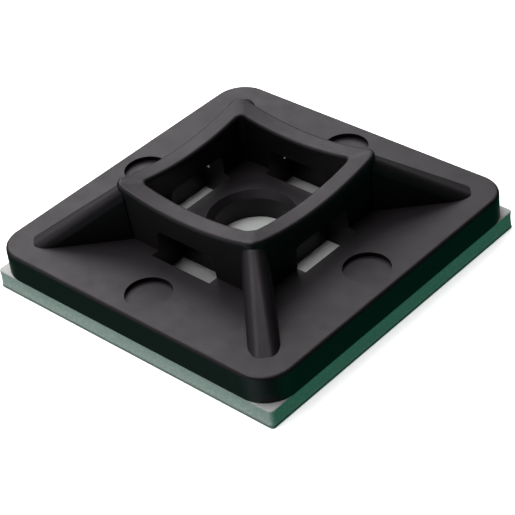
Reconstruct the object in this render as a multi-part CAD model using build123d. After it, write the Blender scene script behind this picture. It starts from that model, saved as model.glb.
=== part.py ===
from build123d import *
import os
from math import radians, sqrt, tan

# Self-adhesive cable tie mount: a moulded base on a square of double-sided foam tape with its liner.
# Millimetres and degrees. The origin is the middle of the liner's underside, and +Z points out of the wall.

# Release liner and foam tape
liner_thickness = 0.15
foam_thickness = 1.4

# Base plate
base_side = 28.0
base_thickness = 2.25
base_corner_radius = 2.5
base_edge_radius = 0.3

# Tie frame: a square tube on the plate, with a rim that dips between its corner tips
frame_side = 14.2
frame_wall = 1.65
frame_height = 4.75
frame_corner_radius = 1.0
well_corner_radius = 0.5
rim_tip_slope = 16.8
rim_corner_radius = 2.0
rim_edge_radius = 0.3

# Tie openings: a slot up through the plate and under the middle of each bar of the frame
slot_length = 6.2
slot_inner_reach = 0.8
slot_outer_reach = 0.95
slot_draft = 4.0
opening_height = 1.8
opening_corner_radius = 0.8

# Legs: round-crested ribs that slope from the frame's corners down into the plate
leg_width = 2.3
leg_draft = 4.0
leg_crest_height = 4.05
leg_corner_margin = 2.15
leg_tip_sink = 0.3

# Screw hole in the middle of the plate, with a broken upper edge
hole_diameter = 6.0
hole_edge_break = 0.5

# Round shallow marks in the plate's top, one in the middle of each side
mark_diameter = 3.6
mark_depth = 0.35
mark_edge_margin = 1.0

# Levels and places that follow from the sizes above
foam_bottom = liner_thickness
base_bottom = foam_bottom + foam_thickness
plate_top = base_bottom + base_thickness
frame_half = frame_side / 2
rim_dip = frame_half * tan(radians(rim_tip_slope / 2))
rim_level = plate_top + frame_height - rim_dip
well_side = frame_side - 2 * frame_wall
quarter_turns = (0, 90, 180, 270)
corner_turns = (45, 135, 225, 315)


def corner_reach(half_side, corner_radius):
    """Distance from the middle of a rounded square to its corner."""
    return half_side * sqrt(2) - corner_radius * (sqrt(2) - 1)


def tape_layer(bottom, thickness):
    """A square of tape, cut with sharp corners to the size of the plate."""
    return Pos(0, 0, bottom) * extrude(Rectangle(base_side, base_side), amount=thickness)


def plate():
    """Flat plate with rounded corners and a softened upper edge."""
    outline = RectangleRounded(base_side, base_side, base_corner_radius)
    slab = Pos(0, 0, base_bottom) * extrude(outline, amount=base_thickness)
    return fillet(slab.faces().sort_by(Axis.Z)[-1].edges(), base_edge_radius)


def saddle_cutter():
    """Cylinder across the frame that hollows the rims of two opposite bars."""
    radius = (frame_half**2 + rim_dip**2) / (2 * rim_dip)
    return Pos(0, 0, rim_level + radius) * Rot(90, 0, 0) * Cylinder(radius, 2 * frame_side)


def rim_edges(tube, sharing):
    """Edges of the frame's top faces that this many of those faces share."""
    top_faces = [face for face in tube.faces() if face.bounding_box().min.Z > rim_level - rim_edge_radius]
    top_edges = [edge for face in top_faces for edge in face.edges()]
    return [edge for edge in tube.edges() if sum(edge.is_same(other) for other in top_edges) == sharing]


def frame():
    """Square tube with its rim hollowed both ways, and the rim's corners and edges rounded."""
    outline = RectangleRounded(frame_side, frame_side, frame_corner_radius)
    well = RectangleRounded(well_side, well_side, well_corner_radius)
    tube = Pos(0, 0, plate_top) * extrude(outline - well, amount=frame_height)
    cutter = saddle_cutter()
    tube = tube - cutter - Rot(0, 0, 90) * cutter
    tube = fillet(rim_edges(tube, sharing=2), rim_corner_radius)
    return fillet(rim_edges(tube, sharing=1), rim_edge_radius)


def leg():
    """Drafted rib along +X, whose round crest slopes from inside the frame's corner into the plate's top."""
    root = sqrt(2) * (frame_half - frame_wall / 2)
    tip = corner_reach(base_side / 2, base_corner_radius) - leg_corner_margin
    slope = leg_crest_height / (tip - corner_reach(frame_half, frame_corner_radius))
    root_height = slope * (tip - root)
    end = tip + leg_tip_sink / slope
    flare = tan(radians(leg_draft))
    foot_width = leg_width + 2 * base_thickness * flare
    crest_radius = leg_width / 2 - root_height * flare
    plan = Pos((root + end) / 2, 0, -base_thickness) * Rectangle(end - root, foot_width)
    wall = extrude(plan, amount=base_thickness + root_height, taper=leg_draft)
    underside = [(root, -base_thickness), (end, -base_thickness)]
    side = Polyline(*underside, (end, -leg_tip_sink), (root, root_height), close=True)
    rib = wall & extrude(Plane.XZ * make_face(side), amount=foot_width, both=True)
    crest = rib.faces().sort_by(Axis.Z)[-1]
    crest_edges = crest.edges().sort_by(SortBy.LENGTH)[-2:]
    return Pos(0, 0, plate_top) * fillet(crest_edges, crest_radius)


def tie_opening():
    """Tapered core below the bar on the -Y side, from the plate's underside to the bar's."""
    core_height = base_thickness + opening_height
    inner = frame_half - frame_wall - slot_inner_reach
    outer = frame_half + slot_outer_reach
    plan = Pos(0, -(inner + outer) / 2) * Rectangle(slot_length, outer - inner)
    core = extrude(plan, amount=core_height, taper=slot_draft)
    arch = Plane.XZ * Pos(0, core_height / 2) * Rectangle(slot_length, core_height)
    arch = fillet(arch.vertices().group_by(Axis.Z)[-1], opening_corner_radius)
    return Pos(0, 0, base_bottom) * (core & extrude(arch, amount=outer))


def screw_hole():
    """Round hole through the plate with a broken upper edge."""
    radius = hole_diameter / 2
    bore = Pos(0, 0, base_bottom + base_thickness / 2) * Cylinder(radius, base_thickness)
    edge_break = Cone(radius, radius + hole_edge_break, hole_edge_break)
    return bore + Pos(0, 0, plate_top - hole_edge_break / 2) * edge_break


def mark():
    """Shallow round recess in the plate's top, on the +X side."""
    reach = base_side / 2 - mark_edge_margin - mark_diameter / 2
    return Pos(reach, 0, plate_top - mark_depth / 2) * Cylinder(mark_diameter / 2, mark_depth)


def mount_base():
    """The moulded base: plate, frame and legs in one, with its openings cut."""
    body = plate() + frame()
    rib = leg()
    for turn in corner_turns:
        body += Rot(0, 0, turn) * rib
    opening = tie_opening()
    recess = mark()
    for turn in quarter_turns:
        body -= Rot(0, 0, turn) * opening
        body -= Rot(0, 0, turn) * recess
    return body - screw_hole()


os.makedirs("parts", exist_ok=True)
export_step(tape_layer(0, liner_thickness), "parts/release_liner.step")
export_step(tape_layer(foam_bottom, foam_thickness), "parts/foam_pad.step")
export_step(mount_base(), "parts/mount_base.step")
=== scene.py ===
from math import cos, pi, radians, sin
from typing import NamedTuple

import bmesh
import bpy
from bpy.props import (
    FloatProperty,
    FloatVectorProperty,
    IntProperty,
    PointerProperty,
)
from bpy.types import Operator, Panel, PropertyGroup
from mathutils import Matrix, Vector, noise


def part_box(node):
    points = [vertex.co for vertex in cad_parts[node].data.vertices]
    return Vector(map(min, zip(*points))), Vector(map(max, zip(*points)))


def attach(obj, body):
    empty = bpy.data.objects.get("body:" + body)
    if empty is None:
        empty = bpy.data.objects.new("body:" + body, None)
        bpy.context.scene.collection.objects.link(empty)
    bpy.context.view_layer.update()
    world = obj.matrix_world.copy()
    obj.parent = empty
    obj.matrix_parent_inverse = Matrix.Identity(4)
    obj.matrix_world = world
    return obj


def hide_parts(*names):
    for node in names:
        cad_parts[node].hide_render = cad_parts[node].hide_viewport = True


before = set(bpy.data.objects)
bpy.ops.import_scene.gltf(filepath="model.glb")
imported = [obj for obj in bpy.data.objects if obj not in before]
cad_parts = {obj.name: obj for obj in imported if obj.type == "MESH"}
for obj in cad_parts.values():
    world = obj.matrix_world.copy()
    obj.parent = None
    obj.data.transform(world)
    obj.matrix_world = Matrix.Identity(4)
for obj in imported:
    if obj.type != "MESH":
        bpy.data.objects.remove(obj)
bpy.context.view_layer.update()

bl_info = {
    "name": "Cable tie mount",
    "version": (1, 0, 0),
    "blender": (4, 5, 0),
    "location": "3D View > Sidebar > Cable tie mount",
    "description": "Finishes the moulded base, foam tape and liner of a self-adhesive cable tie mount",
    "category": "Object",
}

BODY = "root"
MM = 0.001
X, Y, Z = range(3)

# Steps of the rounded corners and edges, and layers of the foam
CORNER_STEPS = 4
FOAM_EDGE_STEPS = 3
LINER_EDGE_STEPS = 2
FOAM_LAYERS = 8

# How far a direction or a face may be from an axis and still count as along it
ALONG = 0.99
LEVEL = 0.5

# Where most of a cloudy noise lies
CLOUD_LOW = 0.3
CLOUD_HIGH = 0.7

# Camera, and the sines of the angles below the horizon between which the light from below fades out
SENSOR_WIDTH = 36.0
CLIP_NEAR = 1 * MM
CLIP_FAR = 20.0
BOUNCE_FULL = -0.45
BOUNCE_NONE = -0.10


class SoftPanel(NamedTuple):
    """A square soft light, by its degrees round from straight behind the mount and up from the bench."""

    name: str
    bearing: float
    height: float
    brightness: float
    side: float = 0.45
    tint: tuple = (1.0, 1.0, 1.0)


PANELS = (
    SoftPanel("back_left_panel", bearing=21, height=38, brightness=3.7),
    SoftPanel("back_right_panel", bearing=-22, height=38, brightness=1.6),
    SoftPanel("top_panel", bearing=75, height=74, brightness=6.0, side=0.42),
    SoftPanel("left_panel", bearing=90, height=15, brightness=1.0),
    SoftPanel("low_left_panel", bearing=135, height=-20, brightness=1.4, tint=(0.76, 1.0, 0.97)),
    SoftPanel("low_right_panel", bearing=-130, height=-20, brightness=0.5, tint=(0.1, 1.0, 0.66)),
)


# Sizes and colours that a user would change

class BaseSettings(PropertyGroup):
    """Finish of the moulded base."""

    colour: FloatVectorProperty(
        name="Plastic",
        description="Colour of the black nylon",
        subtype="COLOR",
        default=(0.0031, 0.0025, 0.0030),
        min=0.0,
        max=1.0,
    )
    bloom_colour: FloatVectorProperty(
        name="Bloom",
        description="Colour of the faint greyish cloudiness on the plastic",
        subtype="COLOR",
        default=(0.0056, 0.0046, 0.0055),
        min=0.0,
        max=1.0,
    )
    roughness: FloatProperty(
        name="Roughness",
        description="Roughness of the satin moulded surface",
        subtype="FACTOR",
        default=0.46,
        min=0.0,
        max=1.0,
    )
    grain: FloatProperty(
        name="Grain",
        description="Width of the fine grain left by the mould",
        subtype="DISTANCE",
        unit="LENGTH",
        default=0.18 * MM,
        min=0.01 * MM,
    )
    grain_depth: FloatProperty(
        name="Grain depth",
        description="Depth of the fine grain",
        subtype="DISTANCE",
        unit="LENGTH",
        default=0.004 * MM,
        min=0.0,
    )
    cloud: FloatProperty(
        name="Cloud width",
        description="Width of the cloudy patches",
        subtype="DISTANCE",
        unit="LENGTH",
        default=3.2 * MM,
        min=0.1 * MM,
    )
    rub: FloatProperty(
        name="Rub width",
        description="Width of the smoother and rougher patches",
        subtype="DISTANCE",
        unit="LENGTH",
        default=1.1 * MM,
        min=0.1 * MM,
    )
    gloss: FloatProperty(
        name="Gloss",
        description="Strength of the plastic's reflection",
        subtype="FACTOR",
        default=0.25,
        min=0.0,
        max=1.0,
    )
    gloss_tint: FloatVectorProperty(
        name="Gloss tint",
        description="Tint of the plastic's reflection",
        subtype="COLOR",
        default=(1.0, 0.91, 0.99),
        min=0.0,
        max=1.0,
    )
    refraction: FloatProperty(
        name="Refractive index",
        description="Refractive index of nylon",
        default=1.53,
        min=1.0,
    )


class TapeSettings(PropertyGroup):
    """Shape and finish of the foam tape."""

    foam_colour: FloatVectorProperty(
        name="Foam",
        description="Colour of the foam where it was cut",
        subtype="COLOR",
        default=(0.53, 0.57, 0.545),
        min=0.0,
        max=1.0,
    )
    # The pores' darker colour is painted shade in the hollows of the cut cells.
    pore_shade_colour: FloatVectorProperty(
        name="Pores",
        description="Colour in the cut cells of the foam",
        subtype="COLOR",
        default=(0.40, 0.45, 0.42),
        min=0.0,
        max=1.0,
    )
    # The adhesive skin's grey is partly its own colour and partly painted shade, darkened to stand in for
    # the base's shadow across the top of the foam.
    skin_and_shade_colour: FloatVectorProperty(
        name="Adhesive",
        description="Colour of the adhesive skin on the foam's faces",
        subtype="COLOR",
        default=(0.42, 0.43, 0.42),
        min=0.0,
        max=1.0,
    )
    skin: FloatProperty(
        name="Skin",
        description="Thickness of the adhesive skin",
        subtype="DISTANCE",
        unit="LENGTH",
        default=0.06 * MM,
        min=0.0,
    )
    pore: FloatProperty(
        name="Pore size",
        description="Width of the foam's cut cells",
        subtype="DISTANCE",
        unit="LENGTH",
        default=0.16 * MM,
        min=0.01 * MM,
    )
    pore_depth: FloatProperty(
        name="Pore depth",
        description="Depth of the foam's cut cells",
        subtype="DISTANCE",
        unit="LENGTH",
        default=0.03 * MM,
        min=0.0,
    )
    sheen: FloatProperty(
        name="Sheen width",
        description="Width of the smoother and rougher patches on the foam",
        subtype="DISTANCE",
        unit="LENGTH",
        default=0.8 * MM,
        min=0.1 * MM,
    )
    corner: FloatProperty(
        name="Corner radius",
        description="Softness of the foam's upright corners",
        subtype="DISTANCE",
        unit="LENGTH",
        default=0.35 * MM,
        min=0.0,
    )
    edge: FloatProperty(
        name="Edge radius",
        description="Softness of the foam's long edges",
        subtype="DISTANCE",
        unit="LENGTH",
        default=0.10 * MM,
        min=0.0,
    )
    waist: FloatProperty(
        name="Waist",
        description="How far the cut sides draw in at half height",
        subtype="DISTANCE",
        unit="LENGTH",
        default=0.03 * MM,
        min=0.0,
    )
    ragged: FloatProperty(
        name="Ragged cut",
        description="Unevenness of the cut sides",
        subtype="DISTANCE",
        unit="LENGTH",
        default=0.05 * MM,
        min=0.0,
    )
    cells: IntProperty(
        name="Cells",
        description="Faces along each side of the foam",
        default=96,
        min=4,
        max=160,
    )


class LinerSettings(PropertyGroup):
    """Shape and finish of the release liner."""

    # The film's dark colour is partly the liner's own and partly painted contact shadow along the foot of
    # the foam.
    colour: FloatVectorProperty(
        name="Film",
        description="Colour of the liner",
        subtype="COLOR",
        default=(0.14, 0.18, 0.16),
        min=0.0,
        max=1.0,
    )
    worn_colour: FloatVectorProperty(
        name="Scuffs",
        description="Colour of the liner where it is scuffed",
        subtype="COLOR",
        default=(0.22, 0.26, 0.24),
        min=0.0,
        max=1.0,
    )
    corner: FloatProperty(
        name="Corner radius",
        description="Radius of the liner's corners",
        subtype="DISTANCE",
        unit="LENGTH",
        default=0.30 * MM,
        min=0.0,
    )
    edge: FloatProperty(
        name="Edge radius",
        description="Softness of the liner's cut edge",
        subtype="DISTANCE",
        unit="LENGTH",
        default=0.03 * MM,
        min=0.0,
    )
    scuff: FloatProperty(
        name="Scuff width",
        description="Width of the scuffs",
        subtype="DISTANCE",
        unit="LENGTH",
        default=0.9 * MM,
        min=0.1 * MM,
    )
    scuff_depth: FloatProperty(
        name="Scuff depth",
        description="Depth of the scuffs",
        subtype="DISTANCE",
        unit="LENGTH",
        default=0.003 * MM,
        min=0.0,
    )


class StageSettings(PropertyGroup):
    """Camera, floor and lights."""

    azimuth: FloatProperty(
        name="Azimuth",
        description="Where the camera stands round the mount, from the front",
        subtype="ANGLE",
        unit="ROTATION",
        default=radians(46.066),
    )
    elevation: FloatProperty(
        name="Elevation",
        description="Height of the camera above the horizon",
        subtype="ANGLE",
        unit="ROTATION",
        default=radians(37.062),
    )
    roll: FloatProperty(
        name="Roll",
        description="Turn of the camera about its own axis",
        subtype="ANGLE",
        unit="ROTATION",
        default=radians(7.225),
    )
    distance: FloatProperty(
        name="Distance",
        description="From the camera to the point it looks at",
        subtype="DISTANCE",
        unit="LENGTH",
        default=137.19 * MM,
        min=10 * MM,
    )
    target: FloatVectorProperty(
        name="Target",
        description="Point that the camera looks at",
        subtype="XYZ",
        unit="LENGTH",
        default=(1.40 * MM, -1.29 * MM, 1.28 * MM),
    )
    lens: FloatProperty(
        name="Lens",
        description="Focal length in millimetres on a 36 mm sensor",
        default=126.99,
        min=1.0,
    )
    floor_colour: FloatVectorProperty(
        name="Floor",
        description="Colour of the floor",
        subtype="COLOR",
        default=(0.90, 0.90, 0.90),
        min=0.0,
        max=1.0,
    )
    floor_shade: FloatProperty(
        name="Floor shade",
        description="How much of its brightness the floor keeps in its darker patches",
        subtype="FACTOR",
        default=0.985,
        min=0.0,
        max=1.0,
    )
    floor_cloud: FloatProperty(
        name="Floor patches",
        description="Width of the floor's faint patches",
        subtype="DISTANCE",
        unit="LENGTH",
        default=60 * MM,
        min=1 * MM,
    )
    floor_glow: FloatProperty(
        name="Floor glow",
        description="How far the floor is lit from within, as a light table is",
        default=0.70,
        min=0.0,
    )
    sky_colour: FloatVectorProperty(
        name="Light from above",
        description="Dim light that comes from all round above the floor",
        subtype="COLOR",
        default=(0.03, 0.03, 0.03),
        min=0.0,
        max=1.0,
    )
    bounce_colour: FloatVectorProperty(
        name="Light from below",
        description="Tinted light that comes up from the bench onto upright faces",
        subtype="COLOR",
        default=(0.0, 0.12, 0.06),
        min=0.0,
        max=1.0,
    )
    panel_distance: FloatProperty(
        name="Panel distance",
        description="From the mount to each soft light",
        subtype="DISTANCE",
        unit="LENGTH",
        default=0.6,
        min=0.1,
    )
    floor_side: FloatProperty(
        name="Floor side",
        description="Length of the square floor's sides",
        subtype="DISTANCE",
        unit="LENGTH",
        default=6.0,
        min=0.1,
    )


# Meshes

def new_piece(name, mesh_maker, material):
    """Makes an object whose place is in its mesh, riding on the mount."""
    mesh = bpy.data.meshes.new(name)
    shape = bmesh.new()
    mesh_maker(shape)
    bmesh.ops.recalc_face_normals(shape, faces=shape.faces)
    shape.to_mesh(mesh)
    shape.free()
    mesh.shade_smooth()
    mesh.materials.append(material)
    piece = bpy.data.objects.new(name, mesh)
    bpy.context.scene.collection.objects.link(piece)
    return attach(piece, BODY)


def block(shape, low, high):
    """A block between two corners."""
    made = bmesh.ops.create_cube(shape, size=1.0)
    size = high - low
    bmesh.ops.scale(shape, vec=size, verts=made["verts"])
    bmesh.ops.translate(shape, vec=(low + high) / 2, verts=made["verts"])


def edges_along(shape, axis):
    """Edges that run along an axis."""
    chosen = []
    for edge in shape.edges:
        run = (edge.verts[1].co - edge.verts[0].co).normalized()
        if abs(run[axis]) > ALONG:
            chosen.append(edge)
    return chosen


def rim_edges(shape):
    """Edges between a level face and an upright one."""
    return [
        edge
        for edge in shape.edges
        if len({abs(face.normal.z) > LEVEL for face in edge.link_faces}) == 2
    ]


def round_off(shape, edges, radius, segments):
    """Rounds edges with a circular bevel."""
    bmesh.ops.bevel(
        shape,
        geom=edges,
        offset=radius,
        affect="EDGES",
        segments=segments,
        profile=0.5,
        material=-1,
    )


def slice_up(shape, low, high, axis, count):
    """Cuts the whole mesh into even slices along an axis."""
    normal = Vector((0, 0, 0))
    normal[axis] = 1.0
    for index in range(1, count):
        place = low.lerp(high, index / count)
        everything = [*shape.verts, *shape.edges, *shape.faces]
        bmesh.ops.bisect_plane(shape, geom=everything, plane_co=place, plane_no=normal)


def foam_shape(shape):
    """A square of foam with soft corners, and sides that are drawn in and unevenly cut."""
    tape = bpy.context.scene.tie_mount_tape
    low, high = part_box("foam_pad")
    block(shape, low, high)
    round_off(shape, edges_along(shape, Z), tape.corner, CORNER_STEPS)
    shape.normal_update()
    round_off(shape, rim_edges(shape), tape.edge, FOAM_EDGE_STEPS)
    slice_up(shape, low, high, X, tape.cells)
    slice_up(shape, low, high, Y, tape.cells)
    slice_up(shape, low, high, Z, FOAM_LAYERS)
    shape.normal_update()
    middle = (low + high) / 2
    half = (high - low) / 2
    wave = 6 * tape.pore
    for vert in shape.verts:
        depth = 1 - ((vert.co.z - middle.z) / half.z) ** 2
        uneven = 0.5 + 0.5 * noise.noise(vert.co / wave)
        inward = tape.waist * depth + tape.ragged * uneven * depth
        flat = Vector((vert.normal.x, vert.normal.y, 0))
        vert.co -= flat * inward


def liner_shape(shape):
    """A thin square film with barely rounded corners and edges."""
    liner = bpy.context.scene.tie_mount_liner
    low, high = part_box("release_liner")
    block(shape, low, high)
    round_off(shape, edges_along(shape, Z), liner.corner, CORNER_STEPS)
    shape.normal_update()
    round_off(shape, rim_edges(shape), liner.edge, LINER_EDGE_STEPS)


# Materials

class Nodes:
    """Builds a material's nodes, with the shader's own sockets set by name."""

    def __init__(self, name):
        self.material = bpy.data.materials.new(name)
        self.material.use_nodes = True
        self.tree = self.material.node_tree
        self.shader = self.tree.nodes["Principled BSDF"]
        self.place = self.add("ShaderNodeTexCoord").outputs["Object"]

    def add(self, kind, **inputs):
        """Adds a node with these inputs set."""
        node = self.tree.nodes.new(kind)
        for name, value in inputs.items():
            node.inputs[name.replace("_", " ")].default_value = value
        return node

    def link(self, output, node, socket):
        """Joins an output to a node's input."""
        self.tree.links.new(output, node.inputs[socket])

    def noise(self, width, detail=4.0, roughness=0.5):
        """Cloudy noise with features of about this width."""
        node = self.add("ShaderNodeTexNoise", Scale=1 / width, Detail=detail, Roughness=roughness)
        self.link(self.place, node, "Vector")
        return node.outputs["Fac"]

    def cells(self, width):
        """Distance to the middle of rounded cells of this width."""
        node = self.add("ShaderNodeTexVoronoi", Scale=1 / width)
        node.feature = "SMOOTH_F1"
        self.link(self.place, node, "Vector")
        return node.outputs["Distance"]

    def blend(self, factor, first, second):
        """Colour between two others."""
        node = self.tree.nodes.new("ShaderNodeMix")
        node.data_type = "RGBA"
        for socket, value in (("A_Color", first), ("B_Color", second)):
            target = next(i for i in node.inputs if i.identifier == socket)
            if isinstance(value, bpy.types.NodeSocket):
                self.tree.links.new(value, target)
            else:
                target.default_value = (*value, 1.0)
        self.tree.links.new(factor, node.inputs["Factor"])
        return next(o for o in node.outputs if o.identifier == "Result_Color")

    def span(self, value, start, end, low=0.0, high=1.0):
        """Maps a value from one range onto another."""
        node = self.add("ShaderNodeMapRange", From_Min=start, From_Max=end, To_Min=low, To_Max=high)
        self.link(value, node, "Value")
        return node.outputs["Result"]

    def height(self):
        """Height above the bench."""
        node = self.add("ShaderNodeSeparateXYZ")
        self.link(self.place, node, "Vector")
        return node.outputs["Z"]

    def bump(self, value, depth, strength):
        """Raises the surface by a value."""
        node = self.add("ShaderNodeBump", Distance=depth, Strength=strength)
        self.link(value, node, "Height")
        self.link(node.outputs["Normal"], self.shader, "Normal")

    def set(self, **sockets):
        """Sets the shader's own inputs."""
        for name, value in sockets.items():
            self.shader.inputs[name.replace("_", " ")].default_value = value

    def feed(self, socket, output):
        """Joins an output to one of the shader's inputs."""
        self.link(output, self.shader, socket)


def black_nylon():
    """Satin black nylon, faintly clouded, with the mould's fine grain."""
    base = bpy.context.scene.tie_mount_base
    nodes = Nodes("moulded_black_nylon")
    cloud = nodes.noise(base.cloud, detail=3.0)
    nodes.feed("Base Color", nodes.blend(cloud, base.colour, base.bloom_colour))
    rub = nodes.noise(base.rub, detail=5.0, roughness=0.6)
    smoothest = base.roughness - 0.04
    roughest = base.roughness + 0.05
    nodes.feed("Roughness", nodes.span(rub, CLOUD_LOW, CLOUD_HIGH, smoothest, roughest))
    nodes.bump(nodes.noise(base.grain, detail=2.0), base.grain_depth, strength=0.35)
    nodes.set(IOR=base.refraction, Specular_IOR_Level=base.gloss, Specular_Tint=(*base.gloss_tint, 1.0))
    return nodes.material


def cut_foam():
    """Closed-cell foam between two thin adhesive skins, with painted shade in the hollows of its cut cells
    and partly painted shade on the top skin.
    """
    tape = bpy.context.scene.tie_mount_tape
    low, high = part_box("foam_pad")
    nodes = Nodes("cut_foam_tape")
    cell = nodes.cells(tape.pore)
    # Darker at the middle of each cell, where the bump sinks it: painted shade in the pores.
    foam = nodes.blend(nodes.span(cell, start=0.15, end=0.6), tape.pore_shade_colour, tape.foam_colour)
    # This mask carries the skin's partly painted shade onto the top of the foam.
    top_skin_and_shade = nodes.span(nodes.height(), high.z - 2 * tape.skin, high.z - tape.skin)
    nodes.feed("Base Color", nodes.blend(top_skin_and_shade, foam, tape.skin_and_shade_colour))
    nodes.feed("Roughness", nodes.span(nodes.noise(tape.sheen), CLOUD_LOW, CLOUD_HIGH, low=0.62, high=0.85))
    nodes.bump(cell, tape.pore_depth, strength=0.5)
    return nodes.material


def liner_film_and_shadow():
    """Thin satin film with faint scuffs; its dark colour is partly the liner's own and partly painted
    contact shadow along the foot of the foam.
    """
    liner = bpy.context.scene.tie_mount_liner
    nodes = Nodes("release_film_and_shadow")
    scuffs = nodes.noise(liner.scuff, detail=6.0, roughness=0.65)
    nodes.feed("Base Color", nodes.blend(scuffs, liner.colour, liner.worn_colour))
    nodes.feed("Roughness", nodes.span(scuffs, CLOUD_LOW, CLOUD_HIGH, low=0.38, high=0.55))
    nodes.bump(scuffs, liner.scuff_depth, strength=0.4)
    return nodes.material


def floor_paper():
    """Plain pale paper with a trace of unevenness."""
    stage = bpy.context.scene.tie_mount_stage
    nodes = Nodes("pale_floor")
    shade = tuple(stage.floor_shade * channel for channel in stage.floor_colour)
    paper = nodes.blend(nodes.noise(stage.floor_cloud), stage.floor_colour, shade)
    nodes.feed("Base Color", paper)
    nodes.feed("Emission Color", paper)
    nodes.set(Roughness=0.9, Specular_IOR_Level=0.0, Emission_Strength=stage.floor_glow)
    return nodes.material


# Operators

class TIEMOUNT_OT_base(Operator):
    """Gives the moulded base its satin black finish"""

    bl_idname = "tie_mount.base"
    bl_label = "Finish the base"

    def execute(self, context):
        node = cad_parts["mount_base"]
        node.data.materials.clear()
        node.data.materials.append(black_nylon())
        return {"FINISHED"}


class TIEMOUNT_OT_foam(Operator):
    """Makes the square of foam tape under the base"""

    bl_idname = "tie_mount.foam"
    bl_label = "Make the foam tape"

    def execute(self, context):
        piece = new_piece("foam_tape", foam_shape, cut_foam())
        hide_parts("foam_pad")
        return {"FINISHED"}


class TIEMOUNT_OT_liner(Operator):
    """Makes the release liner under the tape"""

    bl_idname = "tie_mount.liner"
    bl_label = "Make the liner"

    def execute(self, context):
        piece = new_piece("liner_sheet", liner_shape, liner_film_and_shadow())
        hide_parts("release_liner")
        return {"FINISHED"}


def view_axes(stage):
    """The camera's right, up and back directions."""
    azimuth, elevation, roll = stage.azimuth, stage.elevation, stage.roll
    back = Vector((sin(azimuth) * cos(elevation), -cos(azimuth) * cos(elevation), sin(elevation)))
    level = Vector((cos(azimuth), sin(azimuth), 0))
    upright = back.cross(level)
    right = level * cos(roll) - upright * sin(roll)
    return right, back.cross(right), back


def add_camera(stage):
    """The camera, at the photograph's viewing angle."""
    right, up, back = view_axes(stage)
    lens = bpy.data.cameras.new("camera")
    lens.lens = stage.lens
    lens.sensor_width = SENSOR_WIDTH
    lens.clip_start = CLIP_NEAR
    lens.clip_end = CLIP_FAR
    camera = bpy.data.objects.new("camera", lens)
    turn = Matrix((right, up, back)).transposed().to_4x4()
    camera.matrix_world = Matrix.Translation(Vector(stage.target) + back * stage.distance) @ turn
    bpy.context.scene.collection.objects.link(camera)
    bpy.context.scene.camera = camera


def add_floor(stage):
    """A plain floor under the mount, which only the camera sees."""
    mesh = bpy.data.meshes.new("floor")
    shape = bmesh.new()
    bmesh.ops.create_grid(shape, x_segments=1, y_segments=1, size=stage.floor_side / 2)
    shape.to_mesh(mesh)
    shape.free()
    mesh.materials.append(floor_paper())
    floor = bpy.data.objects.new("floor", mesh)
    floor.visible_glossy = False
    floor.visible_diffuse = False
    floor.visible_shadow = False
    bpy.context.scene.collection.objects.link(floor)


def add_panel(stage, panel):
    """One of the soft lights, facing the mount."""
    lamp = bpy.data.lights.new(panel.name, "AREA")
    lamp.shape = "SQUARE"
    lamp.size = panel.side
    lamp.color = panel.tint
    lamp.energy = panel.brightness * pi * panel.side**2
    light = bpy.data.objects.new(panel.name, lamp)
    round_about = stage.azimuth + radians(panel.bearing)
    height = radians(panel.height)
    level = Vector((-sin(round_about), cos(round_about), 0)) * cos(height)
    towards = level + Vector((0, 0, sin(height)))
    light.location = towards * stage.panel_distance
    light.rotation_euler = towards.to_track_quat("Z", "Y").to_euler()
    bpy.context.scene.collection.objects.link(light)


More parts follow.
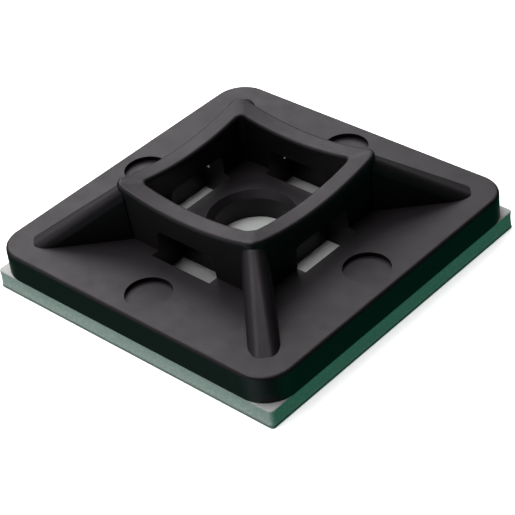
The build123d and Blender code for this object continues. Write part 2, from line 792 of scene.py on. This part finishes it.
def add_surroundings(stage):
    """Dim light from above, tinted light from below, and a white backdrop beyond the floor."""
    world = bpy.data.worlds.new("surroundings")
    world.use_nodes = True
    nodes, links = world.node_tree.nodes, world.node_tree.links
    around = nodes["Background"]
    white = nodes.new("ShaderNodeBackground")
    white.inputs["Color"].default_value = (1, 1, 1, 1)
    place = nodes.new("ShaderNodeTexCoord")
    split = nodes.new("ShaderNodeSeparateXYZ")
    horizon = nodes.new("ShaderNodeMapRange")
    horizon.inputs["From Min"].default_value = BOUNCE_FULL
    horizon.inputs["From Max"].default_value = BOUNCE_NONE
    ramp = nodes.new("ShaderNodeValToRGB")
    ramp.color_ramp.elements[0].color = (*stage.bounce_colour, 1)
    ramp.color_ramp.elements[1].color = (*stage.sky_colour, 1)
    links.new(place.outputs["Generated"], split.inputs["Vector"])
    links.new(split.outputs["Z"], horizon.inputs["Value"])
    links.new(horizon.outputs["Result"], ramp.inputs["Fac"])
    links.new(ramp.outputs["Color"], around.inputs["Color"])
    choice = nodes.new("ShaderNodeMixShader")
    rays = nodes.new("ShaderNodeLightPath")
    links.new(rays.outputs["Is Camera Ray"], choice.inputs["Fac"])
    links.new(around.outputs["Background"], choice.inputs[1])
    links.new(white.outputs["Background"], choice.inputs[2])
    links.new(choice.outputs["Shader"], nodes["World Output"].inputs["Surface"])
    bpy.context.scene.world = world


class TIEMOUNT_OT_stage(Operator):
    """Sets up the camera, the floor and the lights"""

    bl_idname = "tie_mount.stage"
    bl_label = "Set the stage"

    def execute(self, context):
        stage = context.scene.tie_mount_stage
        add_camera(stage)
        add_floor(stage)
        for panel in PANELS:
            add_panel(stage, panel)
        add_surroundings(stage)
        context.scene.view_settings.view_transform = "Standard"
        return {"FINISHED"}


class TIEMOUNT_PT_panel(Panel):
    """Lists the pieces and their settings"""

    bl_idname = "TIEMOUNT_PT_panel"
    bl_label = "Cable tie mount"
    bl_space_type = "VIEW_3D"
    bl_region_type = "UI"
    bl_category = "Cable tie mount"

    def draw(self, context):
        for operator, name, _ in STEPS:
            box = self.layout.box()
            box.operator(operator.bl_idname)
            settings = getattr(context.scene, name)
            for prop in settings.bl_rna.properties:
                if prop.identifier not in {"name", "rna_type"}:
                    box.prop(settings, prop.identifier)


STEPS = (
    (TIEMOUNT_OT_base, "tie_mount_base", BaseSettings),
    (TIEMOUNT_OT_foam, "tie_mount_tape", TapeSettings),
    (TIEMOUNT_OT_liner, "tie_mount_liner", LinerSettings),
    (TIEMOUNT_OT_stage, "tie_mount_stage", StageSettings),
)


def register():
    """Registers the settings, the operators and the panel."""
    for operator, name, settings in STEPS:
        bpy.utils.register_class(settings)
        bpy.utils.register_class(operator)
        setattr(bpy.types.Scene, name, PointerProperty(type=settings))
    bpy.utils.register_class(TIEMOUNT_PT_panel)


def unregister():
    """Takes away what register added."""
    bpy.utils.unregister_class(TIEMOUNT_PT_panel)
    for operator, name, settings in reversed(STEPS):
        delattr(bpy.types.Scene, name)
        bpy.utils.unregister_class(operator)
        bpy.utils.unregister_class(settings)


def main():
    """Makes the mount and its stage."""
    register()
    bpy.ops.tie_mount.base()
    bpy.ops.tie_mount.foam()
    bpy.ops.tie_mount.liner()
    bpy.ops.tie_mount.stage()


if __name__ == "__main__":
    main()
